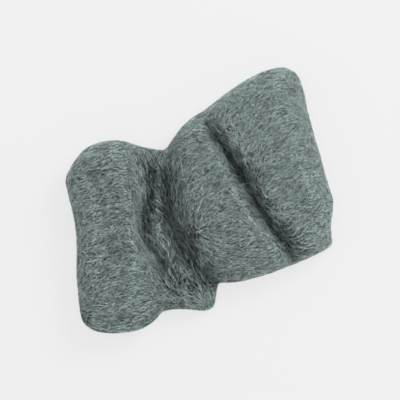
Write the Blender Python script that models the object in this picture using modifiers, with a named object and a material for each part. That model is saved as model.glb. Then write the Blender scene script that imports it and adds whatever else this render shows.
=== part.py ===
"""A pad of steel wool lying on a table.

It is one ribbon of matted steel fibre. The ribbon runs along X, and it has been pushed together
lengthways, so that it stands in three soft lobes with deep creases across it. The first crease
forks round a small tuft. Units are metres, with +Z up and the origin at the middle of the pad's
box, on the table.
"""

from collections import namedtuple
from math import sqrt

import bmesh
import bpy
from mathutils import Vector

MM = 0.001

# The driving sizes, in mm. The lobes are measured along the middle of the ribbon.
LOBE_1_WIDTH = 38.0  # from the left end to the first crease
FORK_WIDTH = 15.0  # across the tuft, between the two branches of the first crease
LOBE_2_WIDTH = 40.5  # from there to the second crease
LOBE_3_WIDTH = 38.6  # from the second crease to the right end
RIBBON_WIDTH = 100.0
CROWN_HEIGHT = 28.0

# How the edges round over, and how the underside lies, in mm.
EDGE_ROUND = 13.0  # inset from the far and near edges at which the pad is full height
END_ROUND = 15.0  # the same, from the two ends of the ribbon
PRESS_DEPTH = 1.2  # how far the soft underside is pressed flat against the table
CREASE_LIFT = 4.5  # how far the underside draws up below a crease that is pinched shut
WALL_BULGE = 0.55  # how far the wall swells out between its top and its foot

# The locks that the fibres lie in, in mm. They stand out of the pad's top, and less in its creases,
# where the pad is lower, and along its edges.
LOCK_HEIGHT = 1.1
LOCK_WIDTH = 6.1
LOCK_LENGTH = 13.0  # along the ribbon, as the fibres run
LOCKS_AT_EDGE = 0.35  # the share of that height that they keep at the edges

# The outermost wall's top and foot, as shares of the height beside it.
WALL_TOP = 0.52
WALL_FOOT = 0.20

# Each stretch of the ribbon is where it starts, measured from the left end, and its width.
LOBE_1 = (0.0, LOBE_1_WIDTH)
FORK = (LOBE_1_WIDTH, FORK_WIDTH)
LOBE_2 = (LOBE_1_WIDTH + FORK_WIDTH, LOBE_2_WIDTH)
LOBE_3 = (LOBE_1_WIDTH + FORK_WIDTH + LOBE_2_WIDTH, LOBE_3_WIDTH)

# The ribs are lines across the ribbon, from its left end to its right. Each stands at a share of
# its stretch. Its sway is its line from the far edge to the near edge: how many mm it lies to the
# right of that place, and where across the ribbon, with the far side at 1 and the near side at -1.
# Its heights are shares of the crown's, at LOFT_ROWS from the far edge to the near edge.
Rib = namedtuple("Rib", "name stretch share sway heights")

LOFT_ROWS = (0.90, 0.48, 0.0, -0.48, -0.90)

RIBS = (
    Rib(
        "left_end", LOBE_1, 0.0,
        ((9.2, 0.74), (7.3, 0.48), (4.8, 0.25), (0.4, 0.02),
         (-4.4, -0.22), (-8.0, -0.44), (-9.7, -0.58), (-9.3, -0.66)),
        (0.86, 0.90, 0.90, 0.87, 0.84),
    ),
    Rib(
        "left_shoulder", LOBE_1, 0.14,
        ((7.4, 0.82), (6.2, 0.48), (0.2, 0.02), (-7.8, -0.44), (-10.3, -0.76)),
        (0.88, 0.92, 0.92, 0.90, 0.86),
    ),
    Rib(
        "lobe_1_rise", LOBE_1, 0.37,
        ((7.4, 0.94), (4.9, 0.44), (0.0, 0.0), (-7.1, -0.48), (-9.1, -0.86)),
        (0.92, 0.94, 0.94, 0.93, 0.88),
    ),
    Rib(
        "lobe_1_crown", LOBE_1, 0.62,
        ((7.4, 0.98), (5.4, 0.44), (0.0, 0.0), (-6.1, -0.48), (-7.6, -0.91)),
        (0.95, 0.98, 1.00, 0.98, 0.91),
    ),
    Rib(
        "lobe_1_brow", LOBE_1, 0.86,
        ((10.2, 0.91), (7.4, 0.43), (0.0, 0.0), (-3.5, -0.44), (-7.5, -0.87)),
        (0.84, 0.97, 1.00, 0.92, 0.79),
    ),
    Rib(
        "crease_a_left", LOBE_1, 1.0,
        ((11.0, 0.815), (8.0, 0.36), (3.4, 0.20), (-2.2, 0.0), (-3.8, -0.12),
         (-1.4, -0.32), (-7.5, -0.84)),
        (0.52, 0.25, 0.24, 0.41, 0.55),
    ),
    Rib(
        "tuft", FORK, 0.45,
        ((9.7, 0.735), (5.2, 0.36), (2.2, 0.20), (-3.0, 0.0), (-3.6, -0.12),
         (-2.6, -0.36), (-2.8, -0.93)),
        (0.42, 0.30, 0.48, 0.52, 0.48),
    ),
    Rib(
        "tuft_edge", FORK, 0.74,
        ((9.1, 0.69), (5.4, 0.36), (-1.0, 0.04), (-1.5, -0.36), (3.7, -1.0)),
        (0.42, 0.21, 0.25, 0.36, 0.42),
    ),
    Rib(
        "crease_a_right", FORK, 1.0,
        ((8.7, 0.66), (5.0, 0.40), (0.3, 0.04), (0.9, -0.36), (1.6, -0.60), (6.0, -0.82)),
        (0.50, 0.20, 0.17, 0.18, 0.32),
    ),
    Rib(
        "lobe_2_rise", LOBE_2, 0.17,
        ((6.6, 0.71), (4.6, 0.36), (0.0, 0.0), (1.0, -0.36), (4.6, -0.825)),
        (0.70, 0.70, 0.70, 0.66, 0.64),
    ),
    Rib(
        "lobe_2_back", LOBE_2, 0.46,
        ((2.4, 0.795), (0.0, 0.0), (1.4, -0.87)),
        (0.87, 0.90, 0.91, 0.89, 0.85),
    ),
    Rib(
        "lobe_2_crown", LOBE_2, 0.70,
        ((-0.9, 0.84), (-2.9, 0.48), (0.1, 0.0), (3.1, -0.40), (3.6, -0.90)),
        (0.92, 1.00, 1.03, 1.00, 0.92),
    ),
    Rib(
        "lobe_2_brow", LOBE_2, 0.88,
        ((-3.5, 0.855), (-5.2, 0.56), (-3.4, 0.40), (-2.9, 0.16), (-0.7, -0.20),
         (0.8, -0.40), (3.8, -0.60), (7.2, -0.91)),
        (0.90, 0.95, 0.98, 0.96, 0.86),
    ),
    Rib(
        "crease_b", LOBE_2, 1.0,
        ((-4.5, 0.87), (-6.3, 0.58), (-4.0, 0.40), (-2.9, 0.20), (0.0, -0.20),
         (2.6, -0.56), (6.3, -0.92)),
        (0.84, 0.37, 0.38, 0.40, 0.42),
    ),
    Rib(
        "lobe_3_rise", LOBE_3, 0.12,
        ((-3.0, 0.90), (-5.8, 0.56), (-4.0, 0.40), (-1.8, 0.16), (0.0, -0.24),
         (0.8, -0.40), (3.2, -0.60), (6.8, -0.915)),
        (0.92, 0.83, 0.81, 0.78, 0.66),
    ),
    Rib(
        "lobe_3_back", LOBE_3, 0.36,
        ((0.0, 0.96), (-0.9, 0.40), (0.1, 0.0), (3.1, -0.44), (5.0, -0.905)),
        (0.95, 0.93, 0.93, 0.90, 0.75),
    ),
    Rib(
        "lobe_3_crown", LOBE_3, 0.65,
        ((1.4, 0.985), (1.9, 0.40), (-0.1, 0.0), (-0.6, -0.44), (-1.6, -0.895)),
        (0.98, 1.00, 1.03, 0.98, 0.78),
    ),
    Rib(
        "right_shoulder", LOBE_3, 0.87,
        ((4.9, 0.95), (2.9, 0.44), (-0.1, 0.0), (-3.6, -0.52), (-6.8, -0.88)),
        (0.93, 0.95, 0.98, 0.92, 0.70),
    ),
    Rib(
        "right_end", LOBE_3, 1.0,
        ((5.2, 0.83), (5.2, 0.70), (3.2, 0.48), (1.4, 0.24), (0.0, 0.0),
         (-1.9, -0.28), (-3.7, -0.54), (-7.1, -0.64), (-9.8, -0.72), (-10.5, -0.82)),
        (0.88, 0.92, 0.94, 0.90, 0.70),
    ),
)

# The rows of the cage across the ribbon, from the far edge at 1 to the near edge at -1.
ROWS = (1.0, 0.92, 0.76, 0.58, 0.39, 0.20, 0.0, -0.20, -0.39, -0.58, -0.76, -0.92, -1.0)

SUBDIVISIONS = 2
FITTING_ROUNDS = 12
FACES_KEPT = 0.76  # the share of its faces that the pad keeps as its plain underside is thinned out

WOOL_COLOUR = (0.155, 0.190, 0.183, 1.0)
WOOL_ROUGHNESS = 0.62
WOOL_METALLIC = 0.55


def clear_scene():
    for obj in list(bpy.data.objects):
        bpy.data.objects.remove(obj)


def new_collection(name):
    collection = bpy.data.collections.new(name)
    bpy.context.scene.collection.children.link(collection)
    return collection


def smooth_value(points, at):
    """The value at `at` on a smooth curve through (place, value) points, in rising places."""
    places = [place for place, _ in points]
    values = [value for _, value in points]
    last = len(points) - 1
    at = min(max(at, places[0]), places[last])
    i = max(k for k in range(last) if places[k] <= at)
    span = places[i + 1] - places[i]
    t = (at - places[i]) / span

    def slope(k):
        low, high = max(k - 1, 0), min(k + 1, last)
        return (values[high] - values[low]) / (places[high] - places[low]) * span

    a, b = values[i], values[i + 1]
    return (
        a * (2 * t**3 - 3 * t**2 + 1)
        + slope(i) * (t**3 - 2 * t**2 + t)
        + b * (3 * t**2 - 2 * t**3)
        + slope(i + 1) * (t**3 - t**2)
    )


def rounded(inset, radius):
    """How full the pad is at this inset from its edge: 0 at the edge and 1 from radius on."""
    gap = max(0.0, 1.0 - inset / radius)
    return sqrt(1.0 - gap * gap)


def rib_point(rib, row):
    """X and Y of a rib at a row, in mm, with X from the middle of the ribbon's left end."""
    start, width = rib.stretch
    far, near = rib.sway[0][1], rib.sway[-1][1]
    across = (far + near) / 2 + row * (far - near) / 2
    sway = smooth_value([(place, offset) for offset, place in reversed(rib.sway)], across)
    return start + rib.share * width + sway, across * RIBBON_WIDTH / 2


def rib_height(rib, row):
    """The height of the pad's top over a rib at a row, in mm, before the edges round it."""
    return CROWN_HEIGHT * smooth_value(list(zip(LOFT_ROWS[::-1], rib.heights[::-1])), row)


def surface_point(i, j, top):
    """The finished surface's point on rib i and row j, on the pad's top or its underside."""
    rib, row = RIBS[i], ROWS[j]
    x, y = rib_point(rib, row)
    height = rib_height(rib, row)
    from_edge = min(rib_point(rib, 1)[1] - y, y - rib_point(rib, -1)[1])
    from_end = min(x - rib_point(RIBS[0], row)[0], rib_point(RIBS[-1], row)[0] - x)
    fullness = rounded(from_edge, EDGE_ROUND) * rounded(from_end, END_ROUND)
    if top:
        z = height * (WALL_TOP + (1 - WALL_TOP) * fullness)
    else:
        pinched = max(0.0, 1 - height / CROWN_HEIGHT)
        flat = CREASE_LIFT * pinched - PRESS_DEPTH
        z = fullness * flat + (1 - fullness) * WALL_FOOT * height
    if i == 0:
        x += WALL_BULGE
    if i == len(RIBS) - 1:
        x -= WALL_BULGE
    if abs(row) == 1:
        y -= WALL_BULGE * row
    return Vector((x, y, z)) * MM


def cut_box():
    """A box of one face per rib and row, with its ribs and rows at whole numbers."""
    ribs, rows = len(RIBS) - 1, len(ROWS) - 1
    cage = bmesh.new()
    bmesh.ops.create_cube(cage, size=1.0)
    for vert in cage.verts:
        vert.co.x = ribs if vert.co.x > 0 else 0
        vert.co.y = rows if vert.co.y > 0 else 0
        vert.co.z = 1 if vert.co.z > 0 else 0
    cuts = [((i, 0, 0), (1, 0, 0)) for i in range(1, ribs)]
    cuts += [((0, j, 0), (0, 1, 0)) for j in range(1, rows)]
    for place, normal in cuts:
        everything = cage.verts[:] + cage.edges[:] + cage.faces[:]
        bmesh.ops.bisect_plane(cage, geom=everything, plane_co=place, plane_no=normal)
    return cage


def smoothed_place(vert):
    """Where subdivision brings this vertex of an all-quad cage."""
    n = len(vert.link_edges)
    near = [edge.other_vert(vert) for edge in vert.link_edges]
    across = [v for face in vert.link_faces for v in face.verts if v != vert and v not in near]
    total = vert.co * n * n
    total += 4 * sum((v.co for v in near), Vector())
    total += sum((v.co for v in across), Vector())
    return total / (n * (n + 5))


def fit_cage(cage, places):
    """Moves the cage out until its subdivided surface passes through the given places."""
    for vert in cage.verts:
        vert.co = places[vert.index]
    for _ in range(FITTING_ROUNDS):
        steps = [places[vert.index] - smoothed_place(vert) for vert in cage.verts]
        for vert, step in zip(cage.verts, steps):
            vert.co += step


def wool_material():
    material = bpy.data.materials.new("steel_wool_grey")
    material.use_nodes = True
    shader = material.node_tree.nodes["Principled BSDF"]
    shader.inputs["Base Color"].default_value = WOOL_COLOUR
    shader.inputs["Roughness"].default_value = WOOL_ROUGHNESS
    shader.inputs["Metallic"].default_value = WOOL_METALLIC
    return material


def wool_pad(collection):
    """The ribbon: a cage with a line for each rib and row, made soft by subdivision."""
    cage = cut_box()
    cage.verts.index_update()
    places, locks, underside = {}, {}, []
    for vert in cage.verts:
        rib, row = round(vert.co.x), len(ROWS) - 1 - round(vert.co.y)
        is_top = vert.co.z > 0.5
        at_edge = rib in (0, len(RIBS) - 1) or row in (0, len(ROWS) - 1)
        places[vert.index] = surface_point(rib, row, is_top)
        if is_top:
            fullness = min(1.0, rib_height(RIBS[rib], ROWS[row]) / CROWN_HEIGHT)
            locks[vert.index] = fullness * (LOCKS_AT_EDGE if at_edge else 1.0)
        elif not at_edge:
            underside.append(vert.index)
    fit_cage(cage, places)
    mesh = bpy.data.meshes.new("steel_wool_pad")
    cage.to_mesh(mesh)
    cage.free()
    mesh.materials.append(wool_material())
    pad = bpy.data.objects.new("steel_wool_pad", mesh)
    collection.objects.link(pad)
    lock_group = pad.vertex_groups.new(name="locks")
    for index, share in locks.items():
        lock_group.add([index], share, "REPLACE")
    pad.vertex_groups.new(name="underside").add(underside, 1.0, "REPLACE")
    soften = pad.modifiers.new("soften", "SUBSURF")
    soften.levels = soften.render_levels = SUBDIVISIONS
    thin_out = pad.modifiers.new("thin_out_underside", "DECIMATE")
    thin_out.ratio = FACES_KEPT
    thin_out.vertex_group = "underside"
    return pad


def raise_locks(pad, guides):
    """Raises the locks of fibre on the pad's top and walls, longer along the ribbon than across."""
    grid = bpy.data.objects.new("lock_grid", None)
    grid.scale = Vector((LOCK_LENGTH, LOCK_WIDTH, LOCK_WIDTH)) * MM
    guides.objects.link(grid)
    locks = bpy.data.textures.new("locks_of_fibre", "CLOUDS")
    locks.noise_scale = 0.5
    locks.noise_depth = 0
    locks.contrast = 1.6
    raised = pad.modifiers.new("locks_of_fibre", "DISPLACE")
    raised.texture = locks
    raised.texture_coords = "OBJECT"
    raised.texture_coords_object = grid
    raised.vertex_group = "locks"
    raised.strength = LOCK_HEIGHT * MM
    raised.mid_level = 0.5
    return grid


def finished_box(obj):
    """Lowest and highest corners of the object as its modifiers leave it."""
    bpy.context.view_layer.update()
    finished = obj.evaluated_get(bpy.context.evaluated_depsgraph_get())
    points = [vert.co.copy() for vert in finished.to_mesh().vertices]
    finished.to_mesh_clear()
    low = Vector([min(p[k] for p in points) for k in range(3)])
    high = Vector([max(p[k] for p in points) for k in range(3)])
    return low, high


def centre_on_origin(pad, lock_grid):
    """Puts the middle of the pad's box over the origin, with its locks. Its height stays."""
    low, high = finished_box(pad)
    shift = -(low + high) / 2
    shift.z = 0.0
    for vert in pad.data.vertices:
        vert.co += shift
    lock_grid.location += shift


def press_flat(pad, cutters):
    """Cuts off what would sink into the table, which leaves the flats that the pad lies on."""
    low, high = finished_box(pad)
    depth = high.z - low.z
    bpy.ops.mesh.primitive_cube_add(size=1.0, location=(0, 0, -depth / 2))
    table = bpy.context.active_object
    table.name = "table_cutter"
    for vert in table.data.vertices:
        vert.co = Vector((
            vert.co.x * 2 * (high.x - low.x),
            vert.co.y * 2 * (high.y - low.y),
            vert.co.z * depth,
        ))
    for user in list(table.users_collection):
        user.objects.unlink(table)
    cutters.objects.link(table)
    table.hide_render = True
    table.display_type = "WIRE"
    press = pad.modifiers.new("press_flat", "BOOLEAN")
    press.operation = "DIFFERENCE"
    press.solver = "EXACT"
    press.object = table


def main():
    clear_scene()
    parts = new_collection("steel_wool")
    guides = new_collection("guides")
    cutters = new_collection("cutters")
    pad = wool_pad(parts)
    lock_grid = raise_locks(pad, guides)
    centre_on_origin(pad, lock_grid)
    press_flat(pad, cutters)
    pad.data.shade_smooth()


main()
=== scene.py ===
"""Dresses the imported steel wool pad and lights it.

The pad's solid is one ribbon of matted steel fibre, bunched into three lobes. Its surface is
made here in two layers: a body of packed wool with soft tufts, and over it the fibres themselves,
as thin strands that weave in and out of the body, lie loose on it and cross its creases. Lengths
are in metres, apart from those in the tables of places and layers, which are in mm. The row frame
has +X along the ribbon, and the pad lies on its XY plane.
"""

from collections import namedtuple
from math import atan2, cos, pi, radians, sin, tau

import bpy
import numpy as np
from mathutils import Matrix, Vector, noise
from mathutils.bvhtree import BVHTree


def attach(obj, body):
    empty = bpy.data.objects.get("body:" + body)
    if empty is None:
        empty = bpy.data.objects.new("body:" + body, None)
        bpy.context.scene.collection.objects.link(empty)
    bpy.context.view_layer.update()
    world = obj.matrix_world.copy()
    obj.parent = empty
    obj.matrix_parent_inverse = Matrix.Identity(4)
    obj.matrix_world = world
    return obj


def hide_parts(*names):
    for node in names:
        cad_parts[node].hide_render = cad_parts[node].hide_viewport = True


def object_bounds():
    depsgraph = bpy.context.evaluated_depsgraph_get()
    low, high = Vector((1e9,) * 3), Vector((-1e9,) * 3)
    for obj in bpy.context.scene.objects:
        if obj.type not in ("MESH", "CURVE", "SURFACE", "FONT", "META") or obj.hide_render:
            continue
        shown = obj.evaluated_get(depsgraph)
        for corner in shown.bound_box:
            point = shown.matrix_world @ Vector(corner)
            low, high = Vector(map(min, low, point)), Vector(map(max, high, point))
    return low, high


bl_info = {
    "name": "Steel Wool Pad",
    "version": (1, 0, 0),
    "blender": (4, 5, 0),
    "location": "3D View > Sidebar > Steel Wool",
    "description": "Adds the packed wool and the steel fibres of a steel wool pad, and its stage",
    "category": "Object",
}

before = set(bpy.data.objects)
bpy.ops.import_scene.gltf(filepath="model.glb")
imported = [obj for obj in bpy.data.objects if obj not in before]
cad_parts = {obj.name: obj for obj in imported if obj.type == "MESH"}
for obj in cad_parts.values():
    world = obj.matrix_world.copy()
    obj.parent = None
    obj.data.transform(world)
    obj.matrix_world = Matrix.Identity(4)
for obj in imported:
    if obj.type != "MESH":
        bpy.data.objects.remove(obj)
SOLID_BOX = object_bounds()
PAD = "steel_wool_pad"
MM = 0.001

# How the fibres mostly lie, as guides: a place on the pad in mm, seen from above, and the angle
# there in degrees from +X. The places are listed one by one. Most of the angles follow a measure of
# the photograph's fibres, rounded, and the others are given one by one. Along the lobes they follow
# the ribbon, and in the creases they turn to run down them.
GUIDES = (
    # The first lobe, and where it dips to the first crease
    (-64, -28, -10),
    (-62, -5, 0),
    (-52, -38, -8),
    (-54, 28, -4),
    (-46, 0, 6),
    (-46, -22, 2),
    (-44, 14, 4),
    (-40, 30, 0),
    (-33, 42, 4),
    (-30, 28, -6),
    (-36, 6, -4),
    (-37, -12, -6),
    (-38, -30, -14),
    (-25, 20, -44),
    (-29, 8, -44),
    (-32, -6, -36),
    (-30, -18, -50),
    (-29, -32, -62),
    # The first crease, with the tuft in its fork and the tab at its near end
    (-16, 22, -80),
    (-20, 11, -84),
    (-25, 2, -72),
    (-11, 25, 84),
    (-14, 12, 88),
    (-20, -2, 84),
    (-21, -14, 86),
    (-20, -26, 66),
    (-9, 16, 82),
    (-11, 0, 86),
    (-11, -14, -88),
    (-9, -28, 64),
    (-20, -38, -56),
    (-14, -46, -60),
    # The second lobe
    (-3, 26, 40),
    (-2, 12, 28),
    (-3, -4, 34),
    (-3, -20, -48),
    (0, -33, -8),
    (8, 30, 2),
    (6, 10, 26),
    (8, -8, 8),
    (10, -26, 0),
    (16, 37, -6),
    (17, 18, 12),
    (20, 0, -10),
    (22, -20, -14),
    (26, -38, -20),
    # The second crease
    (20, 27, -20),
    (22, 12, -2),
    (24, -6, -14),
    (27, -24, -22),
    (25, 27, -68),
    (28, 12, -78),
    (30, 0, -78),
    (32, -12, -76),
    (34, -25, -70),
    (36, -38, -50),
    (30, 24, -78),
    (33, 8, 60),
    (37, -10, 14),
    (39, -28, 20),
    # The third lobe
    (33, 38, 20),
    (40, 20, 22),
    (44, 0, 10),
    (46, -16, 6),
    (50, -38, -4),
    (52, 36, 18),
    (56, 14, 10),
    (56, -10, 6),
    (67, 28, -48),
    (66, 4, -36),
    (64, -20, -20),
)
GUIDE_REACH_MM = 3.5  # within this the nearest guide wins

# Lines down the creases in plan, in mm, from the far edge to the near edge. Strands span them.
CREASE_LINES = (
    ((-14.0, 30.0), (-16.0, 18.0), (-21.0, 9.0), (-26.0, 0.0), (-28.0, -8.0)),
    ((-4.0, 28.0), (-8.0, 14.0), (-11.0, 0.0), (-11.0, -18.0), (-8.0, -34.0)),
    ((23.0, 33.0), (25.0, 25.0), (28.5, 10.0), (31.5, -10.0), (34.0, -25.0), (36.5, -40.0)),
)

# Spots of painted light and painted shade on the wool: places on the pad in mm, how far each
# reaches, and how much it adds to or takes from how open the wool is, the mask of painted shade.
# Some places were chosen beside the photograph, and most were placed where the render differed
# most from it. The other numbers were set one by one.
PAINTED_LIGHT_AND_SHADE = (
    # The edge of the first lobe
    (-72, -28, 5.0, -0.50),
    (-65, -40, 5.0, -0.45),
    (-41, -44, 5.0, -0.45),
    (-29, -42, 4.0, -0.35),
    (-27, 39, 4.0, -0.30),
    (-25, 47, 4.0, -0.40),
    # The first lobe's side of the first crease, and the left branch of its fork
    (-25, 20, 4.5, 0.60),
    (-27, 15, 3.0, 0.30),
    (-21, 9, 2.5, 0.20),
    (-21, 5, 2.5, 0.35),
    (-23, 1, 3.0, 0.30),
    (-26, -5, 3.5, 0.40),
    (-28, -11, 4.5, 0.70),
    (-28, -17, 3.0, 0.30),
    (-31, -18, 4.0, 0.20),
    (-28, -25, 3.0, 0.25),
    (-30, -26, 4.0, 0.40),
    # The far end of the first crease, its tuft and its right branch
    (-12, 30, 4.5, -0.30),
    (-18, 28, 3.5, 0.40),
    (-13, 19, 4.5, -0.55),
    (-6, 19, 4.0, -0.20),
    (-18, 11, 2.5, -0.25),
    (-10, 0, 3.5, -0.25),
    (0, -3, 3.5, -0.30),
    (-17, -5, 2.5, -0.25),
    (-11, -6, 4.0, -0.45),
    (-22, -10, 2.5, -0.05),
    (-5, -11, 5.0, -0.35),
    (-1, -12, 3.5, -0.30),
    (-10, -13, 5.0, -0.50),
    (-15, -17, 4.0, -0.40),
    (-11, -22, 5.0, -0.35),
    (-19, -22, 5.0, -0.40),
    (-20, -31, 7.0, -0.60),
    (-14, -37, 6.0, -0.30),
    # The second lobe
    (2, 34, 5.0, 0.30),
    (9, 40, 4.0, 0.30),
    (21, -19, 3.5, 0.30),
    (23, -38, 4.0, 0.40),
    (-2, -39, 4.0, -0.50),
    (5, -42, 5.0, -0.35),
    # The second crease
    (25, 40, 4.0, 0.35),
    (21, 34, 3.5, -0.55),
    (24, 20, 4.0, 0.60),
    (20, 12, 3.5, 0.20),
    (24, 12, 3.0, 0.30),
    (37, 7, 4.0, -0.30),
    (26, 3, 4.0, 0.40),
    (29, -2, 3.5, 0.55),
    (33, -23, 3.0, 0.45),
    (40, -30, 5.0, -0.75),
    (31, -38, 3.5, 0.30),
    (42, -40, 5.0, -0.50),
    # The edge of the third lobe
    (57, 46, 4.0, -0.30),
    (51, -44, 4.0, -0.35),
)

# Each layer of strands: how many, the fewest and most steps in a strand and the length of a step,
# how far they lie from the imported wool's surface at their lowest and highest, how high the highest
# of them arch (lengths in mm), how wide they are (1 is as the settings say), how dull (0) or
# bright (1) they mostly are and how much that varies, and the share of them that lies any way. A
# crease layer lies only in the creases.
Layer = namedtuple(
    "Layer", "name count fewest most step low high arch width tone vary stray crease"
)

# The deeper a layer lies, the duller its tone: painted shade among the fibres. The spread of tones
# within a layer is tone that differs at random.
MATTED_LAYERS = (
    Layer("deep_fibres", 26000, 2, 2, 2.5, -0.1, 0.3, 0.0, 1.5, 0.30, 0.26, 0.24, False),
    Layer("matted_fibres", 32500, 2, 2, 2.6, 0.1, 0.5, 0.0, 1.1, 0.48, 0.36, 0.20, False),
    Layer("upper_fibres", 32500, 2, 2, 2.8, 0.3, 0.75, 0.0, 0.9, 0.58, 0.50, 0.18, False),
    Layer("top_fibres", 32500, 2, 2, 2.9, 0.5, 1.0, 0.0, 0.8, 0.67, 0.54, 0.16, False),
)
LOOSE_LAYERS = (
    Layer("loose_fibres", 700, 4, 8, 2.0, 0.7, 1.2, 0.8, 1.0, 0.68, 0.28, 0.30, False),
    Layer("crease_fibres", 6500, 2, 4, 2.4, 0.5, 1.4, 2.5, 1.1, 0.66, 0.48, 0.14, True),
)
LAYERS = MATTED_LAYERS + LOOSE_LAYERS

# How far the strands' tones differ from this middle one: places along the ribbon in mm, and the
# share of the layers' own differences there. Where the wool is less open than CREASE_OPEN, up to
# CREASE_CONTRAST is added to that share, so that with the painted crease shade dull strands are
# darker and bright ones brighter there.
MIDDLE_TONE = 0.58
COARSENESS = ((-55, 1.6), (-28, 1.6), (0, 0.80), (25, 0.66), (50, 0.44))
CREASE_CONTRAST = 1.9
CREASE_OPEN = 0.8

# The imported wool, and how open it is
SURFACE_SINK = 0.25 * MM  # how far it lies below the tips of its fibres
FOOT_BAND = 3 * MM  # below this height it is sunk less, and on the table not at all
RAY_START = 0.4 * MM  # how far above the surface the rays that feel it out start
EVENING_ROUNDS = 3  # times that each place is evened out with its neighbours
LOW_DOWN = 13 * MM  # below this height the painted shade is deeper, by up to the next share
LOW_PAINTED_SHADE = 0.9
LIGHT_RISE = 7 * MM  # a strand this far up out of a crease is left out of the painted crease shade

# Where strands start and how they run
FACING_SHARES = ((-1.0, 0.25), (-0.3, 0.6), (0.3, 1.0))  # fewer, the less a face looks up
CREASE_BEGIN = 0.85  # how open the wool is where the strands of a crease layer begin
CREASE_RATE = 1.6  # how fast they grow in number from there
STRIP = 1.5 * MM  # width of the strips in which the faces are gone through
PATCH_SIZE = 13 * MM  # size of the patches of strands that turn together
CURL = radians(4)  # how far a strand mostly curls at each step, to the same side all along
WANDER = radians(2.5)  # how far it mostly turns besides, to either side
WEAVE = 0.18 * MM  # how far it weaves up and down
TIP_SINK = 0.5 * MM  # how far each of its tips goes down into the wool
NEAR_HEIGHT = 0.5 * MM  # on the sides of the pad, a strand keeps less of what is above this
SIDE_SHARE = 0.3  # the least that it keeps of that
TABLE_GAP = 0.2 * MM  # no strand is nearer to the table
EDGE_BAND = 6 * MM  # this near to the ribbon's two edges, strands arch less and less
CROWN_BAND = 9 * MM  # and so they do from this far below the highest crown upward
FEW_HIGH = 2.5  # the greater, the fewer strands arch high
FEW_THICK = 1.6  # the greater, the fewer strands are thick
TAPER = 0.4  # the less, the blunter the ends of a strand
TWIST = 0.5  # how far a strand's cross-section mostly turns from point to point, in radians
MAP_MARGIN = 0.08  # the free edge of each strand's own square of the map

# Strands that span the creases from wall to wall
CROSSING_COUNT = 110
CROSSING_TRIES = 30  # places tried for each
CROSSING_SEED = 200  # added to the seed of the settings
CROSSING_REACH = 8 * MM  # the farthest that the start of one's path is from either wall
CROSSING_SHORTEST = 4 * MM
CROSSING_HOLD_MM = 0.8  # how far its ends go into the walls
CROSSING_STEP = 2.0 * MM
CROSSING_POINTS = (5, 16)  # the fewest and the most along one
CROSSING_HEIGHT_MM = (0.6, 9.0)  # the lowest and the highest, above the foot of the crease
CROSSING_SCATTER = 1.5 * MM  # how far they start from the crease's line
CROSSING_SPREAD = radians(32)  # how far they turn from the way that the crease runs
CROSSING_SLOPE = 0.25  # how steeply they mostly rise or fall
CROSSING_SAG = (0.02, 0.12)  # the least and the most, as a share of the span
CROSSING_BOW = 0.08  # how far they mostly bow to a side, as a share of the span
CROSSING_TONE = (0.42, 0.22)  # how bright they mostly are, and how much that varies

# The stage
FLOOR_SIZE = 8.0
FLOOR_SHADE = 0.86  # how far the floor shows its own colour over the light that falls on it
AMBIENT = 0.68  # how strongly the white surroundings light the pad
LEFT_SHARE = 0.4  # the left lamp's power, as a share of the top lamp's
VIEW_MIDDLE = (4.2 * MM, 3.0 * MM)  # the place under the middle of the picture
OUTLINE_HEIGHT = 11 * MM  # how high above the floor the pad's outline is, seen from above


class WoolBodySettings(bpy.types.PropertyGroup):
    """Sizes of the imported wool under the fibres."""

    grain: bpy.props.FloatProperty(
        name="Grain",
        description="Size of the faces that carry the wool's relief",
        default=1.3 * MM,
        min=0.8 * MM,
        unit="LENGTH",
    )
    tuft_length: bpy.props.FloatProperty(
        name="Tuft length",
        description="How long the soft tufts of the surface are, along the ribbon",
        default=11 * MM,
        unit="LENGTH",
    )
    tuft_width: bpy.props.FloatProperty(
        name="Tuft width",
        description="How wide the soft tufts of the surface are",
        default=4 * MM,
        unit="LENGTH",
    )
    tuft_depth: bpy.props.FloatProperty(
        name="Tuft depth",
        description="How far the hollows between the tufts go down",
        default=0.25 * MM,
        unit="LENGTH",
    )
    rays: bpy.props.IntProperty(
        name="Rays",
        description="Rays that feel out how open each place of the wool is",
        default=24,
        min=4,
    )
    reach: bpy.props.FloatProperty(
        name="Reach",
        description="How far these rays go",
        default=24 * MM,
        unit="LENGTH",
    )
    fill: bpy.props.FloatProperty(
        name="Fill",
        description="How full the pad is, from slack to tight",
        default=0.6,
        min=0.0,
        max=1.0,
        subtype="FACTOR",
    )


class FibreSettings(bpy.types.PropertyGroup):
    """Numbers and sizes of the strands."""

    density: bpy.props.FloatProperty(
        name="Density",
        description="Share of the strands that is made",
        default=1.0,
        min=0.05,
        max=1.0,
        subtype="FACTOR",
    )
    thinnest: bpy.props.FloatProperty(
        name="Thinnest",
        description="Width of the thinnest strands",
        default=0.095 * MM,
        unit="LENGTH",
    )
    thickest: bpy.props.FloatProperty(
        name="Thickest",
        description="Width of the thickest strands",
        default=0.24 * MM,
        unit="LENGTH",
    )
    spread: bpy.props.FloatProperty(
        name="Spread",
        description="How far single strands turn from the way that those around them lie",
        default=radians(19),
        subtype="ANGLE",
    )
    drift: bpy.props.FloatProperty(
        name="Drift",
        description="How far whole patches of strands turn from the way that the ribbon runs",
        default=radians(18),
        subtype="ANGLE",
    )
    seed: bpy.props.IntProperty(
        name="Seed",
        description="Which of many like arrangements of the strands is made",
        default=7,
    )


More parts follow.
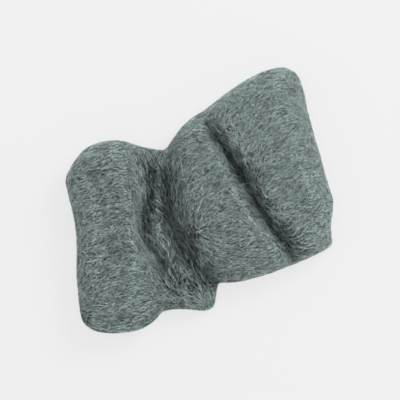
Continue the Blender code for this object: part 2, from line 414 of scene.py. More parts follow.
class SteelSettings(bpy.types.PropertyGroup):
    """Colours and gloss of the steel."""

    bright: bpy.props.FloatVectorProperty(
        name="Bright steel",
        description="Colour of the brightest strands",
        default=(0.765, 0.910, 0.885),
        size=3,
        min=0.0,
        max=1.0,
        subtype="COLOR",
    )
    dull: bpy.props.FloatVectorProperty(
        name="Dull steel",
        description="Colour of the dullest strands",
        default=(0.076, 0.112, 0.117),
        size=3,
        min=0.0,
        max=1.0,
        subtype="COLOR",
    )
    # The deep wool's dark colour is painted shade: the shadow between the strands.
    shade: bpy.props.FloatVectorProperty(
        name="Deep wool",
        description="Colour of the packed wool between the strands, where little light comes out",
        default=(0.024, 0.037, 0.040),
        size=3,
        min=0.0,
        max=1.0,
        subtype="COLOR",
    )
    # The strength of the painted crease shade.
    deepest: bpy.props.FloatProperty(
        name="Crease shade",
        description="Share of its colour that the wool keeps at the bottom of a crease",
        default=0.34,
        min=0.0,
        max=1.0,
        subtype="FACTOR",
    )
    metallic: bpy.props.FloatProperty(
        name="Metallic",
        description="How metallic the strands are",
        default=0.55,
        min=0.0,
        max=1.0,
        subtype="FACTOR",
    )


class StageSettings(bpy.types.PropertyGroup):
    """The floor, the lamps and the camera over the pad."""

    floor_colour: bpy.props.FloatVectorProperty(
        name="Floor",
        description="Colour of the floor and the backdrop",
        default=(0.847, 0.847, 0.847),
        size=3,
        min=0.0,
        max=1.0,
        subtype="COLOR",
    )
    view_width: bpy.props.FloatProperty(
        name="View width",
        description="Width of the floor that the camera sees",
        default=200 * MM,
        unit="LENGTH",
    )
    lens: bpy.props.FloatProperty(
        name="Lens",
        description="Focal length of the camera, in millimetres",
        default=135.0,
    )
    turn: bpy.props.FloatProperty(
        name="Turn",
        description="How far the ribbon runs uphill in the picture",
        default=radians(23),
        subtype="ANGLE",
    )
    key_power: bpy.props.FloatProperty(
        name="Key light",
        description="Power of the main lamp, in watts",
        default=7.35,
    )
    fill_power: bpy.props.FloatProperty(
        name="Fill light",
        description="Power of the softer lamp overhead, in watts",
        default=1.85,
    )


GROUPS = {
    "body": WoolBodySettings,
    "fibres": FibreSettings,
    "steel": SteelSettings,
    "stage": StageSettings,
}


def settings(name):
    return getattr(bpy.context.scene, "steel_wool_" + name)


def select_only(obj):
    bpy.ops.object.select_all(action="DESELECT")
    obj.select_set(True)
    bpy.context.view_layer.objects.active = obj


def link(name, data):
    obj = bpy.data.objects.new(name, data)
    bpy.context.scene.collection.objects.link(obj)
    return obj


def values_of(items, attribute, width, kind):
    """This attribute of all these items of a mesh, as an array."""
    values = np.empty(len(items) * width, kind)
    items.foreach_get(attribute, values)
    return values.reshape(-1, width) if width > 1 else values


def points_of(mesh):
    return values_of(mesh.vertices, "co", 3, np.float32).astype(float)


def normals_of(mesh):
    return values_of(mesh.vertex_normals, "vector", 3, np.float32).astype(float)


def unit(vectors):
    length = np.linalg.norm(vectors, axis=1, keepdims=True)
    return vectors / np.maximum(length, 1e-12)


# Materials


def new_group(name, inputs, outputs):
    """A shader node group with these sockets: its tree, and its input and output nodes."""
    tree = bpy.data.node_groups.new(name, "ShaderNodeTree")
    for label, kind, default in inputs:
        socket = tree.interface.new_socket(label, in_out="INPUT", socket_type=kind)
        socket.default_value = default
    for label, kind in outputs:
        tree.interface.new_socket(label, in_out="OUTPUT", socket_type=kind)
    return tree, tree.nodes.new("NodeGroupInput"), tree.nodes.new("NodeGroupOutput")


def add_node(tree, kind, inputs=None, **options):
    """A new node with these options and these values in its inputs."""
    node = tree.nodes.new(kind)
    for name, value in options.items():
        setattr(node, name, value)
    for name, value in (inputs or {}).items():
        node.inputs[name].default_value = value
    return node


def wire(tree, start, end):
    tree.links.new(start, end)


def maths(tree, operation, first, second, clamp=False):
    """A Math node on two values, each a socket or a number. Returns its output."""
    node = add_node(tree, "ShaderNodeMath", operation=operation, use_clamp=clamp)
    for socket, value in zip(node.inputs, (first, second)):
        if isinstance(value, (int, float)):
            socket.default_value = value
        else:
            wire(tree, value, socket)
    return node.outputs[0]


def swing_of(tree, value, strength):
    """How far a value from 0 to 1 is from its middle, times this number or socket."""
    return maths(tree, "MULTIPLY", maths(tree, "SUBTRACT", value, 0.5), strength)


def noise_node(tree, vector, inputs, **options):
    node = add_node(tree, "ShaderNodeTexNoise", inputs, **options)
    wire(tree, vector, node.inputs["Vector"])
    return node


def object_place(tree):
    """The row frame's coordinates, which every pattern on the pad lies in."""
    return add_node(tree, "ShaderNodeTexCoord").outputs["Object"]


def ranged(tree, value, low, high):
    """A value from 0 to 1 as one from low to high."""
    node = add_node(tree, "ShaderNodeMapRange", {"To Min": low, "To Max": high})
    wire(tree, value, node.inputs["Value"])
    return node.outputs["Result"]


def fibre_grain_group():
    """Fine packed fibres, as stretched noise laid several ways over one another."""
    tree, given, made = new_group(
        "fibre_grain",
        [
            ("Vector", "NodeSocketVector", (0.0, 0.0, 0.0)),
            ("Fineness", "NodeSocketFloat", 1.0),
        ],
        [("Strands", "NodeSocketFloat")],
    )
    contrast = 4.0
    total = None
    for angle, share in ((-12, 0.34), (22, 0.26), (-48, 0.22), (80, 0.18)):
        along = {"Rotation": (0.0, 0.0, radians(-angle)), "Scale": (260, 2100, 1500)}
        turn = add_node(tree, "ShaderNodeMapping", along, vector_type="POINT")
        wire(tree, given.outputs["Vector"], turn.inputs["Vector"])
        rough = {"Detail": 2.0, "Roughness": 0.6, "Distortion": 0.4}
        speckle = noise_node(tree, turn.outputs["Vector"], rough)
        wire(tree, given.outputs["Fineness"], speckle.inputs["Scale"])
        part = maths(tree, "MULTIPLY", speckle.outputs["Fac"], share)
        total = part if total is None else maths(tree, "ADD", total, part)
    sharp = swing_of(tree, total, contrast)
    wire(tree, maths(tree, "ADD", sharp, 0.5, clamp=True), made.inputs["Strands"])
    return tree


def clump_tone_group():
    """Slow changes of tone over the pad, where the wool is packed more or less tightly."""
    tree, given, made = new_group(
        "clump_tone",
        [
            ("Vector", "NodeSocketVector", (0.0, 0.0, 0.0)),
            ("Strength", "NodeSocketFloat", 0.2),
        ],
        [("Tone", "NodeSocketFloat")],
    )
    along = {"Scale": (70, 190, 190)}
    stretch = add_node(tree, "ShaderNodeMapping", along, vector_type="POINT")
    wire(tree, given.outputs["Vector"], stretch.inputs["Vector"])
    clumps = noise_node(tree, stretch.outputs["Vector"], {"Scale": 1.0, "Detail": 3.0})
    tone = swing_of(tree, clumps.outputs["Fac"], given.outputs["Strength"])
    wire(tree, tone, made.inputs["Tone"])
    return tree


def crease_shade_group():
    """Paints shade into the colour of wool that lies deep, where light is lost among the fibres."""
    tree, given, made = new_group(
        "crease_shade",
        [
            ("Color", "NodeSocketColor", (1.0, 1.0, 1.0, 1.0)),
            ("Painted light share", "NodeSocketFloat", 1.0),
            ("Deepest", "NodeSocketFloat", 0.2),
        ],
        [("Color", "NodeSocketColor")],
    )
    raggedness = 0.9
    fully_shaded = 0.48  # wool that is no more open than this keeps only the deepest share of its colour, in full painted shade
    # Noise makes the painted shade ragged at its edges.
    shade_noise = noise_node(tree, object_place(tree), {"Scale": 190.0, "Detail": 2.0})
    uneven = swing_of(tree, shade_noise.outputs["Fac"], raggedness)
    ragged = maths(tree, "ADD", given.outputs["Painted light share"], uneven)
    span = {"From Min": fully_shaded, "To Max": 1.0}
    depth = add_node(tree, "ShaderNodeMapRange", span)
    wire(tree, ragged, depth.inputs["Value"])
    wire(tree, given.outputs["Deepest"], depth.inputs["To Min"])
    dim = add_node(tree, "ShaderNodeVectorMath", operation="SCALE")
    wire(tree, given.outputs["Color"], dim.inputs[0])
    wire(tree, depth.outputs["Result"], dim.inputs["Scale"])
    wire(tree, dim.outputs[0], made.inputs["Color"])
    return tree


def placed_group(tree, name, builder, values=None):
    """A node of a shared group, which is built where it is used first."""
    shared = bpy.data.node_groups.get(name) or builder()
    return add_node(tree, "ShaderNodeGroup", values, node_tree=shared)


def shaded_colour(tree, tone, dark, light, deepest):
    """A colour between two others, by this tone. Painted shade darkens it where the wool's own
    attribute of how open it is to light is low, down to this share of it, which is a number or an
    output."""
    colour = add_node(tree, "ShaderNodeMix", data_type="RGBA")
    colour.inputs[6].default_value = (*dark, 1.0)
    colour.inputs[7].default_value = (*light, 1.0)
    wire(tree, tone, colour.inputs["Factor"])
    shade = placed_group(tree, "crease_shade", crease_shade_group)
    painted_light_share = add_node(tree, "ShaderNodeAttribute", attribute_name="painted_light_share")
    wire(tree, colour.outputs[2], shade.inputs["Color"])
    wire(tree, painted_light_share.outputs["Fac"], shade.inputs["Painted light share"])
    if isinstance(deepest, float):
        shade.inputs["Deepest"].default_value = deepest
    else:
        wire(tree, deepest, shade.inputs["Deepest"])
    return shade.outputs["Color"]


def new_material(name, metallic):
    """A new material, with its tree and its shader."""
    material = bpy.data.materials.new(name)
    material.use_nodes = True
    shader = material.node_tree.nodes["Principled BSDF"]
    shader.inputs["Metallic"].default_value = metallic
    return material, material.node_tree, shader


def packed_wool_material():
    """The wool under the strands, painted dark as the shade between them, with fine fibres in it."""
    steel = settings("steel")
    shade_share = 0.6  # what it keeps of the colour that the strands keep under the painted crease shade, so its painted shade is deeper
    material, tree, shader = new_material("packed_wool", 0.3)
    grain = placed_group(tree, "fibre_grain", fibre_grain_group, {"Fineness": 1.0})
    clumps = placed_group(tree, "clump_tone", clump_tone_group, {"Strength": 0.5})
    for node in (grain, clumps):
        wire(tree, object_place(tree), node.inputs["Vector"])
    tone = maths(tree, "ADD", grain.outputs["Strands"], clumps.outputs["Tone"], clamp=True)
    colour = shaded_colour(tree, tone, steel.shade, steel.dull, shade_share * steel.deepest)
    wire(tree, colour, shader.inputs["Base Color"])
    wire(tree, ranged(tree, tone, 0.75, 0.5), shader.inputs["Roughness"])
    relief = add_node(tree, "ShaderNodeBump", {"Strength": 0.9, "Distance": 0.5 * MM})
    wire(tree, grain.outputs["Strands"], relief.inputs["Height"])
    wire(tree, relief.outputs["Normal"], shader.inputs["Normal"])
    return material


def strand_material():
    """The steel of the strands. Each has its own tone, with finer painted glints along it. Under the
    painted crease shade the bright ones keep more of their colour than the dull ones."""
    steel = settings("steel")
    painted_glint_strength = 2.6
    painted_glint_variety = 60.0  # how far the glints differ from strand to strand
    kept_range = 0.6
    material, tree, shader = new_material("steel_strand", steel.metallic)
    own = add_node(tree, "ShaderNodeAttribute", attribute_name="strand_tone").outputs["Fac"]
    place = object_place(tree)
    clumps = placed_group(tree, "clump_tone", clump_tone_group, {"Strength": 0.06})
    wire(tree, place, clumps.inputs["Vector"])
    # Painted glints: fine flecks of light and dark along each strand, in its colour.
    fine = {"Scale": 2100.0, "Detail": 1.0}
    painted_glints = noise_node(tree, place, fine, noise_dimensions="4D")
    wire(tree, maths(tree, "MULTIPLY", own, painted_glint_variety), painted_glints.inputs["W"])
    tone = maths(tree, "ADD", own, clumps.outputs["Tone"])
    swing = swing_of(tree, painted_glints.outputs["Fac"], painted_glint_strength)
    tone = maths(tree, "ADD", tone, swing, clamp=True)
    # Under the painted crease shade, bright strands keep more of their colour than dull ones.
    kept = maths(tree, "MULTIPLY", tone, kept_range)
    kept = maths(tree, "ADD", steel.deepest - kept_range / 2, kept)
    colour = shaded_colour(tree, tone, steel.dull, steel.bright, kept)
    wire(tree, colour, shader.inputs["Base Color"])
    wire(tree, ranged(tree, tone, 0.55, 0.36), shader.inputs["Roughness"])
    return material


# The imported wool


def merged_solid():
    """A copy of the pad's solid as one connected mesh. The solid itself stays as it is."""
    body = link("wool_body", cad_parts[PAD].data.copy())
    select_only(body)
    bpy.ops.object.mode_set(mode="EDIT")
    bpy.ops.mesh.select_all(action="SELECT")
    bpy.ops.mesh.remove_doubles(threshold=0.001 * MM)
    bpy.ops.object.mode_set(mode="OBJECT")
    return body


def raise_tufts(body, own):
    """Sinks the wool below the tips of its fibres, and the hollows between its soft tufts
    further. The tufts are long the way that the ribbon runs."""
    fading, finer, octaves = 0.8, 2.2, 3
    mesh = body.data
    places, normals = points_of(mesh), normals_of(mesh)
    for vert, place, normal in zip(mesh.vertices, places, normals):
        along = Vector((
            place[0] / own.tuft_length,
            place[1] / own.tuft_width,
            place[2] / own.tuft_width,
        ))
        hollow = 0.5 + 0.5 * noise.fractal(along, fading, finer, octaves)
        clear_of_table = min(1.0, max(0.0, place[2] / FOOT_BAND))
        depth = SURFACE_SINK + own.tuft_depth * min(max(hollow, 0.0), 1.0)
        vert.co -= Vector(normal) * depth * clear_of_table


def spiral_directions(count):
    """Directions spread over the half space above a surface, most of them near straight up."""
    share = (np.arange(count) + 0.5) / count
    turn = pi * (3 - 5**0.5) * np.arange(count)
    out = np.sqrt(share)
    return np.stack([out * np.cos(turn), out * np.sin(turn), np.sqrt(1 - share)], 1)


def tilted(directions, normals):
    """Directions given for a surface that faces up, as they are on one with these normals."""
    halfway = normals + (0.0, 0.0, 1.0)
    scale = (directions * normals).sum(1) + directions[:, 2]
    scale = scale / np.maximum(1 + normals[:, 2], 0.3)
    return directions - halfway * scale[:, None] + normals * 2 * directions[:, 2:3]


def open_share(surface, starts, normals, own):
    """The share of rays that gets away from each of these places over the surface."""
    free = np.zeros(len(starts))
    rays = spiral_directions(own.rays)
    for ray in rays:
        ways = tilted(np.tile(ray, (len(starts), 1)), normals).tolist()
        for i, (start, way) in enumerate(zip(starts, ways)):
            if surface.tree.ray_cast(start, way, own.reach)[0] is None:
                free[i] += 1 / len(rays)
    return free


def evened_out(mesh, values):
    """The vertices' values, each drawn towards those of its neighbours."""
    edges = values_of(mesh.edges, "vertices", 2, np.int32)
    joined = np.bincount(edges.ravel(), minlength=len(values))
    for _ in range(EVENING_ROUNDS):
        near = np.bincount(edges[:, 0], values[edges[:, 1]], len(values))
        near += np.bincount(edges[:, 1], values[edges[:, 0]], len(values))
        values = 0.5 * values + 0.5 * near / np.maximum(joined, 1)
    return values


def write_painted_shade(body, own):
    """How open each place of the wool is to light, from 0 deep in a crease to 1 out on a lobe: the
    mask of painted shade.
    """
    mesh = body.data
    places, normals = points_of(mesh), normals_of(mesh)
    starts = (places + normals * RAY_START).tolist()
    free = evened_out(mesh, open_share(WoolSurface(body), starts, normals, own))
    # Painted shade: darker the nearer the wool lies to the table.
    low_down = np.clip(1 - places[:, 2] / LOW_DOWN, 0, 1)
    free = np.clip(free - LOW_PAINTED_SHADE * (1 - free) * low_down, 0, 1)
    # Spots of painted light and painted shade, added to the mask.
    for x, y, reach, change in PAINTED_LIGHT_AND_SHADE:
        away = places[:, :2] / MM - (x, y)
        free += change * np.exp(-np.square(away).sum(1) / reach**2)
    kept = mesh.attributes.new("painted_light_share", "FLOAT", "POINT")
    kept.data.foreach_set("value", np.clip(free, 0, 1).astype(np.float32))


def make_wool_body():
    own = settings("body")
    body = merged_solid()
    body.data.remesh_voxel_size = own.grain
    bpy.ops.object.voxel_remesh()
    raise_tufts(body, own)
    write_painted_shade(body, own)
    bpy.ops.object.shade_smooth()
    body.data.materials.clear()
    body.data.materials.append(packed_wool_material())
    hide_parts(PAD)
    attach(body, "root")


# The strands


def guided_angles(places):
    """The way that the fibres lie at these places in plan, in radians."""
    guides = np.array(GUIDES, float)
    away = places[:, None, :2] / MM - guides[None, :, :2]
    weight = 1 / (np.square(away).sum(2) + GUIDE_REACH_MM**2) ** 2
    # A fibre has no front or back, so an angle and its opposite are the same: they are doubled.
    doubled = 2 * np.radians(guides[:, 2])
    return 0.5 * np.arctan2(weight @ np.sin(doubled), weight @ np.cos(doubled))


def patch_drift(places, size, seed):
    """A slow wander from place to place, from about -1 to 1."""
    shift = Vector((seed, 0.0, 0.0))
    return np.array([noise.noise(Vector(place) / size + shift) for place in places])


def turned(directions, normals, angles):
    """Directions turned about the surface's normals."""
    sideways = np.cross(normals, directions)
    return directions * np.cos(angles)[:, None] + sideways * np.sin(angles)[:, None]


def laid_on(directions, normals):
    """Directions pressed into the surface."""
    return unit(directions - normals * (directions * normals).sum(1, keepdims=True))


class WoolSurface:
    """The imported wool's surface, which strands start from and follow."""

    def __init__(self, body):
        mesh = body.data
        mesh.calc_loop_triangles()
        triangles = mesh.loop_triangles
        self.corners = values_of(triangles, "vertices", 3, np.int32)
        self.points = points_of(mesh)
        self.normals = values_of(triangles, "normal", 3, np.float32).astype(float)
        self.areas = values_of(triangles, "area", 1, np.float32).astype(float)
        self.tree = BVHTree.FromPolygons(self.points.tolist(), self.corners.tolist())
        kept = mesh.attributes.get("painted_light_share")
        self.painted_light_share = kept and values_of(kept.data, "value", 1, np.float32)

    def scattered(self, count, rng, crease):
        """Places strewn evenly over the surface, more thinly on the sides and the underside, or
        only in the creases."""
        chance = self.areas * np.interp(self.normals[:, 2], *zip(*FACING_SHARES))
        middles = self.points[self.corners].mean(1)
        if crease:
            closed = CREASE_BEGIN - self.painted_light_share[self.corners[:, 0]]
            chance *= np.clip(CREASE_RATE * closed, 0, 1)
            chance *= self.normals[:, 2] > 0.0
            from_edges = SOLID_BOX[1][:2] - np.abs(middles[:, :2])
            chance *= (from_edges > EDGE_BAND).all(1)
        # The faces are taken strip by strip, those that look down after all others, and the
        # places lie at even steps along the strips.
        strips = np.floor(middles[:, 0] / STRIP) + 1000 * (self.normals[:, 2] < 0)
        order = np.lexsort((middles[:, 1], strips))
        total = np.cumsum(chance[order])
        steps = (np.arange(count) + rng.random(count)) / count * total[-1]
        chosen = rng.permutation(order[np.searchsorted(total, steps).clip(0, len(order) - 1)])
        first, second = np.sqrt(rng.random(count))[:, None], rng.random(count)[:, None]
        a, b, c = (self.points[self.corners[chosen, k]] for k in range(3))
        return a * (1 - first) + b * first * (1 - second) + c * first * second

    def nearest(self, places):
        """The surface's nearest points to these places, its normals there, and how open it is: its
        painted shade.
        """
        found = [self.tree.find_nearest(place) for place in places.tolist()]
        painted_light_at = self.painted_light_share[self.corners[[hit[2] for hit in found], 0]]
        return np.array([hit[0] for hit in found]), np.array([hit[1] for hit in found]), painted_light_at

    def highest_at(self, x, y):
        """The highest point of the wool at this place in plan, or None beside the pad."""
        return self.tree.ray_cast((x, y, 1.0), (0.0, 0.0, -1.0))[0]

    def covers(self, path, counts):
        """Which of these paths lie over the pad along their whole length, seen from above."""
        over = [self.highest_at(x, y) is not None for x, y, _ in path.reshape(-1, 3).tolist()]
        unused = np.arange(path.shape[1]) >= counts[:, None]
        return (np.reshape(over, path.shape[:2]) | unused).all(1)


def lay_strands(surface, layer, count, rng):
    """Paths that follow the surface: their points, its normals there, the share of light that
    painted shade leaves there, and how many of the points belong to each."""
    own = settings("fibres")
    counts = rng.integers(layer.fewest, layer.most + 1, count) + 1
    step = layer.step * MM * rng.uniform(0.75, 1.25, count)[:, None]
    places, normals, painted_light_at = surface.nearest(surface.scattered(count, rng, layer.crease))
    angles = guided_angles(places) + own.drift * patch_drift(places, PATCH_SIZE, own.seed)
    angles += rng.normal(0, own.spread, count)
    stray = rng.random(count) < layer.stray
    angles = np.where(stray, rng.random(count) * pi, angles) + pi * rng.integers(0, 2, count)
    heading = np.stack([np.cos(angles), np.sin(angles), np.zeros(count)], 1)
    heading = laid_on(tilted(heading, normals), normals)
    curl = rng.normal(0, CURL, count)
    path, faced, painted_light_share = [places], [normals], [painted_light_at]
    for _ in range(counts.max() - 1):
        places, normals, painted_light_at = surface.nearest(places + heading * step)
        heading = laid_on(heading, normals)
        heading = turned(heading, normals, curl + rng.normal(0, WANDER, count))
        path.append(places)
        faced.append(normals)
        painted_light_share.append(painted_light_at)
    return np.stack(path, 1), np.stack(faced, 1), np.stack(painted_light_share, 1), counts


def lifted(path, faced, counts, layer, rng):
    """Raises each path off the surface by its own height, weaving in and out of it, and sinks
    both of its tips. Returns the paths and the heights of their points. On the sides they stay
    close, so that the pad keeps its outline."""
    strands, most = path.shape[:2]
    place = np.arange(most)[None, :]
    share = np.clip(place / (counts[:, None] - 1), 0, 1)
    height = (layer.low + (layer.high - layer.low) * rng.random(strands)[:, None]) * MM
    waves = rng.uniform(0.6, 1.6, strands)[:, None]
    height = height + WEAVE * np.sin(tau * (share * waves + rng.random(strands)[:, None]))
    inside = np.clip((SOLID_BOX[1][1] - np.abs(path[:, :, 1])) / EDGE_BAND - 0.5, 0, 1)
    below = np.clip((SOLID_BOX[1][2] - path[:, :, 2]) / CROWN_BAND, 0, 1)
    arch = layer.arch * MM * rng.random(strands)[:, None] ** FEW_HIGH * inside * below
    height = height + arch * np.sin(pi * share)
    upward = np.clip(SIDE_SHARE + 0.9 * faced[:, :, 2], SIDE_SHARE, 1)
    pressed = NEAR_HEIGHT + (height - NEAR_HEIGHT) * upward
    height = np.where(height > NEAR_HEIGHT, pressed, height)
    tips = (place == 0) | (place >= counts[:, None] - 1)
    height = np.where(tips, height - TIP_SINK, height)
    raised = path + faced * height[:, :, None]
    raised[:, :, 2] = np.maximum(raised[:, :, 2], TABLE_GAP)
    return raised, height


def strand_rings(path, faced, widths, rng):
    """The corners of each strand: three round every point between its tips, then its two tips.
    The three turn slowly along it, as a shaving of steel does."""
    strands, points = path.shape[:2]
    along = np.gradient(path, axis=1).reshape(-1, 3)
    across = unit(np.cross(along, faced.reshape(-1, 3)))
    upward = unit(np.cross(across, along)).reshape(path.shape)
    across = across.reshape(path.shape)
    twist = rng.uniform(0, tau, strands)[:, None]
    twist = twist + np.arange(points) * rng.normal(0, TWIST, (strands, 1))
    taper = np.sin(pi * np.arange(points) / (points - 1)) ** TAPER
    radius = 0.5 * widths[:, None] * taper
    rings = []
    for corner in range(3):
        angle = (twist + corner * tau / 3)[:, :, None]
        outward = upward * np.cos(angle) + across * np.sin(angle)
        rings.append(path + radius[:, :, None] * outward)
    rings = np.stack(rings, 2)[:, 1:-1].reshape(strands, -1, 3)
    return np.concatenate([rings, path[:, :1], path[:, -1:]], 1)


def strand_faces(points):
    """The triangles at the tips of a strand of this many points and the quads between them, each
    as its corners' numbers and their places on the strand's own square of the map."""
    first, last = 3 * (points - 2), 3 * (points - 2) + 1
    triangles, quads = [], []

    def corner(place, turn):
        ring = 3 * (place - 1) + turn % 3
        number = first if place == 0 else last if place == points - 1 else ring
        return number, place / (points - 1), turn / 3

    for turn in range(3):
        for place in range(points - 1):
            face = [
                corner(place, turn),
                corner(place, turn + 1),
                corner(place + 1, turn + 1),
                corner(place + 1, turn),
            ]
            if place == 0:
                triangles.append(face[1:])
            elif place == points - 2:
                triangles.append(face[:3])
            else:
                quads.append(face)
    return np.array(triangles), np.array(quads)


def strands_piece(name, path, faced, counts, painted_light_share, widths, tones, rng):
    """One piece of many strands, each a tapered tube along the first points of its path."""
    verts, faces, corners, tone, shade = [], [], [], [], []
    start, laid = 0, 0
    side = int(np.ceil(np.sqrt(len(counts))))  # the map has this many squares each way
    for points in np.unique(counts):
        own = counts == points
        strands = own.sum()
        rings = strand_rings(path[own, :points], faced[own, :points], widths[own], rng)
        verts.append(rings.reshape(-1, 3))
        tone.append(np.repeat(tones[own], rings.shape[1]))
        # The painted shade at each point, given to the strand's corners.
        depth = painted_light_share[own, :points]
        shade.append(np.c_[np.repeat(depth[:, 1:-1], 3, 1), depth[:, :1], depth[:, -1:]].ravel())
        offset = start + np.arange(strands)[:, None, None] * rings.shape[1]
        square = laid + np.arange(strands)
        square = np.stack([square % side, square // side], 1)[:, None, None, :]
        for kind in strand_faces(points):
            if len(kind):
                faces += (offset + kind[:, :, 0].astype(int)).reshape(-1, kind.shape[1]).tolist()
                on_map = square + MAP_MARGIN + (1 - 2 * MAP_MARGIN) * kind[:, :, 1:]
                corners.append((on_map / side).reshape(-1, 2))
        start += strands * rings.shape[1]
        laid += strands
    mesh = bpy.data.meshes.new(name)
    mesh.from_pydata(np.concatenate(verts).tolist(), [], faces)
    layer = mesh.uv_layers.new(name="OFBake")
    layer.uv.foreach_set("vector", np.concatenate(corners).astype(np.float32).ravel())
    for label, values in (("strand_tone", tone), ("painted_light_share", shade)):
        kept = mesh.attributes.new(label, "FLOAT", "POINT")
        kept.data.foreach_set("value", np.concatenate(values).astype(np.float32))
    mesh.materials.append(bpy.data.materials.get("steel_strand") or strand_material())
    piece = link(name, mesh)
    select_only(piece)
    bpy.ops.object.shade_smooth()
    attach(piece, "root")


def strand_widths(count, rng):
    own = settings("fibres")
    return own.thinnest + (own.thickest - own.thinnest) * rng.random(count) ** FEW_THICK


def contrasted(tones, along, painted_light_share):
    """Draws the strands' tones together or apart, by their place along the ribbon, and apart where
    they lie deep in a crease, as part of the painted crease shade."""
    places, shares = zip(*COARSENESS)
    contrast = np.interp(along / MM, places, shares)
    contrast = contrast + CREASE_CONTRAST * np.clip(CREASE_OPEN - painted_light_share, 0, 1)
    return MIDDLE_TONE + (tones - MIDDLE_TONE) * contrast


def make_strand_layer(surface, layer):
    """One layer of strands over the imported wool."""
    own = settings("fibres")
    rng = np.random.default_rng(own.seed + LAYERS.index(layer))
    count = round(layer.count * own.density)
    path, faced, painted_light_share, counts = lay_strands(surface, layer, count, rng)
    raised, height = lifted(path, faced, counts, layer, rng)
    tones = rng.normal(layer.tone, layer.vary, count)
    tones = np.clip(contrasted(tones, path[:, 0, 0], painted_light_share[:, 0]), 0, 1)
    # Strands raised off the wool get less painted shade.
    painted_light_share = np.clip(painted_light_share + np.clip(height, 0, None) / LIGHT_RISE, 0, 1)
    widths = strand_widths(count, rng) * layer.width
    strands = raised, faced, counts, painted_light_share, widths, tones
    if layer.arch:
        kept = surface.covers(raised, counts)
        strands = [values[kept] for values in strands]
    strands_piece(layer.name, *strands, rng)


def crease_place(line, share):
    """A place this share of the way down a crease's line, and the line's direction there."""
    spans = [(Vector(a) * MM, Vector(b) * MM) for a, b in zip(line, line[1:])]
    left = share * sum((b - a).length for a, b in spans)
    for a, b in spans:
        if left <= (b - a).length or (a, b) == spans[-1]:
            return a + (b - a).normalized() * left, (b - a).normalized()
        left -= (b - a).length


def wall_to_wall(surface, start, way):
    """The two ends of a strand through this place of a crease, a little way into its walls, or
    None where a wall is out of reach."""
    ends = []
    for sense in (-1, 1):
        hit = surface.tree.ray_cast(start, way * sense, CROSSING_REACH)[0]
        if hit is None:
            return None
        ends.append(hit + way * sense * CROSSING_HOLD_MM * MM)
    return ends


def crossing_ends(surface, rng):
    """The two ends of a strand at a place in a crease that is left to chance, and its direction,
    or None where the crease is too wide or too narrow there."""
    line = CREASE_LINES[rng.integers(len(CREASE_LINES))]
    place, down = crease_place(line, rng.random())
    place = place + Vector((-down.y, down.x)) * rng.normal(0, CROSSING_SCATTER)
    angle = atan2(down.y, down.x) + rng.normal(0, CROSSING_SPREAD)
    way = Vector((cos(angle), sin(angle), rng.normal(0, CROSSING_SLOPE))).normalized()
    foot = surface.highest_at(place.x, place.y)
    if foot is None:
        return None
    height = foot.z + rng.uniform(*CROSSING_HEIGHT_MM) * MM
    ends = wall_to_wall(surface, Vector((place.x, place.y, height)), way)
    if ends is None or (ends[1] - ends[0]).length < CROSSING_SHORTEST:
        return None
    return *ends, way


def crossing_paths(surface, wanted, rng):
    """Paths from wall to wall of the creases, each with a little sag and bow, and how many of the
    points belong to each."""
    fewest, most = CROSSING_POINTS
    path = np.zeros((wanted, most, 3))
    counts = np.zeros(wanted, int)
    made = 0
    for _ in range(CROSSING_TRIES * wanted):
        if made == wanted:
            break
        found = crossing_ends(surface, rng)
        if found is None:
            continue
        start, end, way = found
        span = (end - start).length
        points = min(most, max(fewest, round(span / CROSSING_STEP) + 1))
        share = np.linspace(0, 1, points)
        belly = np.sin(pi * share)
        sag = rng.uniform(*CROSSING_SAG) * span
        bow = rng.normal(0, CROSSING_BOW) * span
        path[made, :points] = np.outer(1 - share, start) + np.outer(share, end)
        path[made, :points] += np.outer(belly, (-way.y * bow, way.x * bow, -sag))
        counts[made] = points
        made += 1
    return path[:made], counts[:made]


def make_crossing_strands(surface):
    """Strands pulled across the creases from wall to wall."""
    own = settings("fibres")
    rng = np.random.default_rng(own.seed + CROSSING_SEED)
    path, counts = crossing_paths(surface, round(CROSSING_COUNT * own.density), rng)
    kept = surface.covers(path, counts)
    path, counts, made = path[kept], counts[kept], kept.sum()
    places, _, painted_light_share = surface.nearest(path.reshape(-1, 3))
    height = np.linalg.norm(path.reshape(-1, 3) - places, axis=1)
    # Strands raised off the wool get less painted shade.
    painted_light_share = np.clip(painted_light_share + height / LIGHT_RISE, 0, 1).reshape(path.shape[:2])
    faced = np.broadcast_to((0.0, 0.0, 1.0), path.shape)
    tones = np.clip(rng.normal(*CROSSING_TONE, made), 0, 1)
    widths = strand_widths(made, rng)
    strands_piece("crossing_fibres", path, faced, counts, painted_light_share, widths, tones, rng)


# The stage


def seen_directly(tree):
    """1 for camera rays and for rays that a glossy or clear surface sends on, and 0 otherwise."""
    path = add_node(tree, "ShaderNodeLightPath")
    seen = maths(tree, "MAXIMUM", path.outputs["Is Camera Ray"], path.outputs["Is Glossy Ray"])
    return maths(tree, "MAXIMUM", seen, path.outputs["Is Transmission Ray"])


def floor_material(colour):
    """The floor's own colour to the eye, with a little of the pad's shadow on it."""
    material, tree, shader = new_material("floor", 0.0)
    shader.inputs["Base Color"].default_value = (*colour, 1.0)
    shader.inputs["Roughness"].default_value = 0.9
    glow = add_node(tree, "ShaderNodeEmission", {"Color": (*colour, 1.0)})
    blend = add_node(tree, "ShaderNodeMixShader")
    wire(tree, maths(tree, "MULTIPLY", seen_directly(tree), FLOOR_SHADE), blend.inputs["Fac"])
    wire(tree, shader.outputs["BSDF"], blend.inputs[1])
    wire(tree, glow.outputs["Emission"], blend.inputs[2])
    wire(tree, blend.outputs["Shader"], tree.nodes["Material Output"].inputs["Surface"])
    return material


def make_floor(own):
    bpy.ops.mesh.primitive_plane_add(size=FLOOR_SIZE, location=(0, 0, 0))
    floor = bpy.context.active_object
    floor.name = "floor"
    floor.data.materials.append(floor_material(tuple(own.floor_colour)))


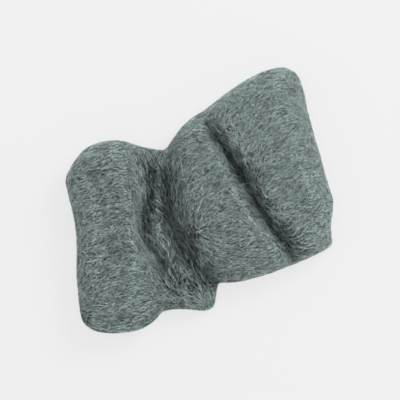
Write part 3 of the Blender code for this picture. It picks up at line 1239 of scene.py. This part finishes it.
def make_lamp(name, place, size, power):
    """A square soft lamp at this place, aimed at the pad."""
    data = bpy.data.lights.new(name, "AREA")
    data.shape = "SQUARE"
    data.size = size
    data.energy = power
    lamp = link(name, data)
    lamp.matrix_world = Matrix.Translation(place) @ (
        Vector(place).to_track_quat("Z", "Y").to_matrix().to_4x4()
    )


def make_world(own):
    world = bpy.data.worlds.new("studio")
    bpy.context.scene.world = world
    world.use_nodes = True
    tree = world.node_tree
    tree.nodes.clear()
    white = {"Color": (1.0, 1.0, 1.0, 1.0), "Strength": AMBIENT}
    ambient = add_node(tree, "ShaderNodeBackground", white)
    backdrop = add_node(tree, "ShaderNodeBackground", {"Color": (*own.floor_colour, 1.0)})
    blend = add_node(tree, "ShaderNodeMixShader")
    out = add_node(tree, "ShaderNodeOutputWorld")
    wire(tree, seen_directly(tree), blend.inputs["Fac"])
    wire(tree, ambient.outputs["Background"], blend.inputs[1])
    wire(tree, backdrop.outputs["Background"], blend.inputs[2])
    wire(tree, blend.outputs["Shader"], out.inputs["Surface"])


def make_camera(own):
    """A camera straight over the pad, turned so that the ribbon runs uphill to the right."""
    data = bpy.data.cameras.new("camera")
    data.lens = own.lens
    camera = link("camera", data)
    distance = own.view_width * own.lens / data.sensor_width
    camera.location = (*VIEW_MIDDLE, OUTLINE_HEIGHT + distance)
    camera.rotation_euler = (0.0, 0.0, -own.turn)
    data.clip_start = 0.01
    data.clip_end = 20.0
    bpy.context.scene.camera = camera


def make_stage():
    own = settings("stage")
    make_floor(own)
    make_world(own)
    make_lamp("key_lamp", (0.73, 0.27, 0.75), 0.5, own.key_power)
    make_lamp("top_lamp", (0.0, 0.25, 1.1), 0.9, own.fill_power)
    make_lamp("left_lamp", (-0.7, 0.2, 0.6), 0.7, own.fill_power * LEFT_SHARE)
    make_camera(own)
    bpy.context.scene.view_settings.view_transform = "Standard"


# The add-on's operators and panel


class STEELWOOL_OT_body(bpy.types.Operator):
    """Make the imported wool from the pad's solid"""

    bl_idname = "steelwool.body"
    bl_label = "Packed Wool"

    def execute(self, context):
        make_wool_body()
        return {"FINISHED"}


class STEELWOOL_OT_matted(bpy.types.Operator):
    """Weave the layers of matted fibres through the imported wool"""

    bl_idname = "steelwool.matted"
    bl_label = "Matted Fibres"

    def execute(self, context):
        surface = WoolSurface(bpy.data.objects["wool_body"])
        for layer in MATTED_LAYERS:
            make_strand_layer(surface, layer)
        return {"FINISHED"}


class STEELWOOL_OT_loose(bpy.types.Operator):
    """Lay loose fibres on the pad and across its creases"""

    bl_idname = "steelwool.loose"
    bl_label = "Loose Fibres"

    def execute(self, context):
        surface = WoolSurface(bpy.data.objects["wool_body"])
        for layer in LOOSE_LAYERS:
            make_strand_layer(surface, layer)
        make_crossing_strands(surface)
        return {"FINISHED"}


class STEELWOOL_OT_stage(bpy.types.Operator):
    """Add the floor, the lamps and the camera"""

    bl_idname = "steelwool.stage"
    bl_label = "Stage"

    def execute(self, context):
        make_stage()
        return {"FINISHED"}


OPERATORS = (
    STEELWOOL_OT_body,
    STEELWOOL_OT_matted,
    STEELWOOL_OT_loose,
    STEELWOOL_OT_stage,
)


class STEELWOOL_PT_panel(bpy.types.Panel):
    """Lists the steps that dress the pad, and what can be set in them"""

    bl_idname = "STEELWOOL_PT_panel"
    bl_label = "Steel Wool Pad"
    bl_space_type = "VIEW_3D"
    bl_region_type = "UI"
    bl_category = "Steel Wool"

    def draw(self, context):
        for operator in OPERATORS:
            self.layout.operator(operator.bl_idname)
        for name in GROUPS:
            box = self.layout.box()
            box.label(text=name.capitalize())
            own = settings(name)
            for key in own.__annotations__:
                box.prop(own, key)


CLASSES = (*GROUPS.values(), *OPERATORS, STEELWOOL_PT_panel)


def register():
    for cls in CLASSES:
        bpy.utils.register_class(cls)
    for name, group in GROUPS.items():
        setattr(bpy.types.Scene, "steel_wool_" + name, bpy.props.PointerProperty(type=group))


def unregister():
    for name in GROUPS:
        delattr(bpy.types.Scene, "steel_wool_" + name)
    for cls in reversed(CLASSES):
        bpy.utils.unregister_class(cls)


def main():
    register()
    bpy.ops.steelwool.body()
    bpy.ops.steelwool.matted()
    bpy.ops.steelwool.loose()
    bpy.ops.steelwool.stage()


if __name__ == "__main__":
    main()
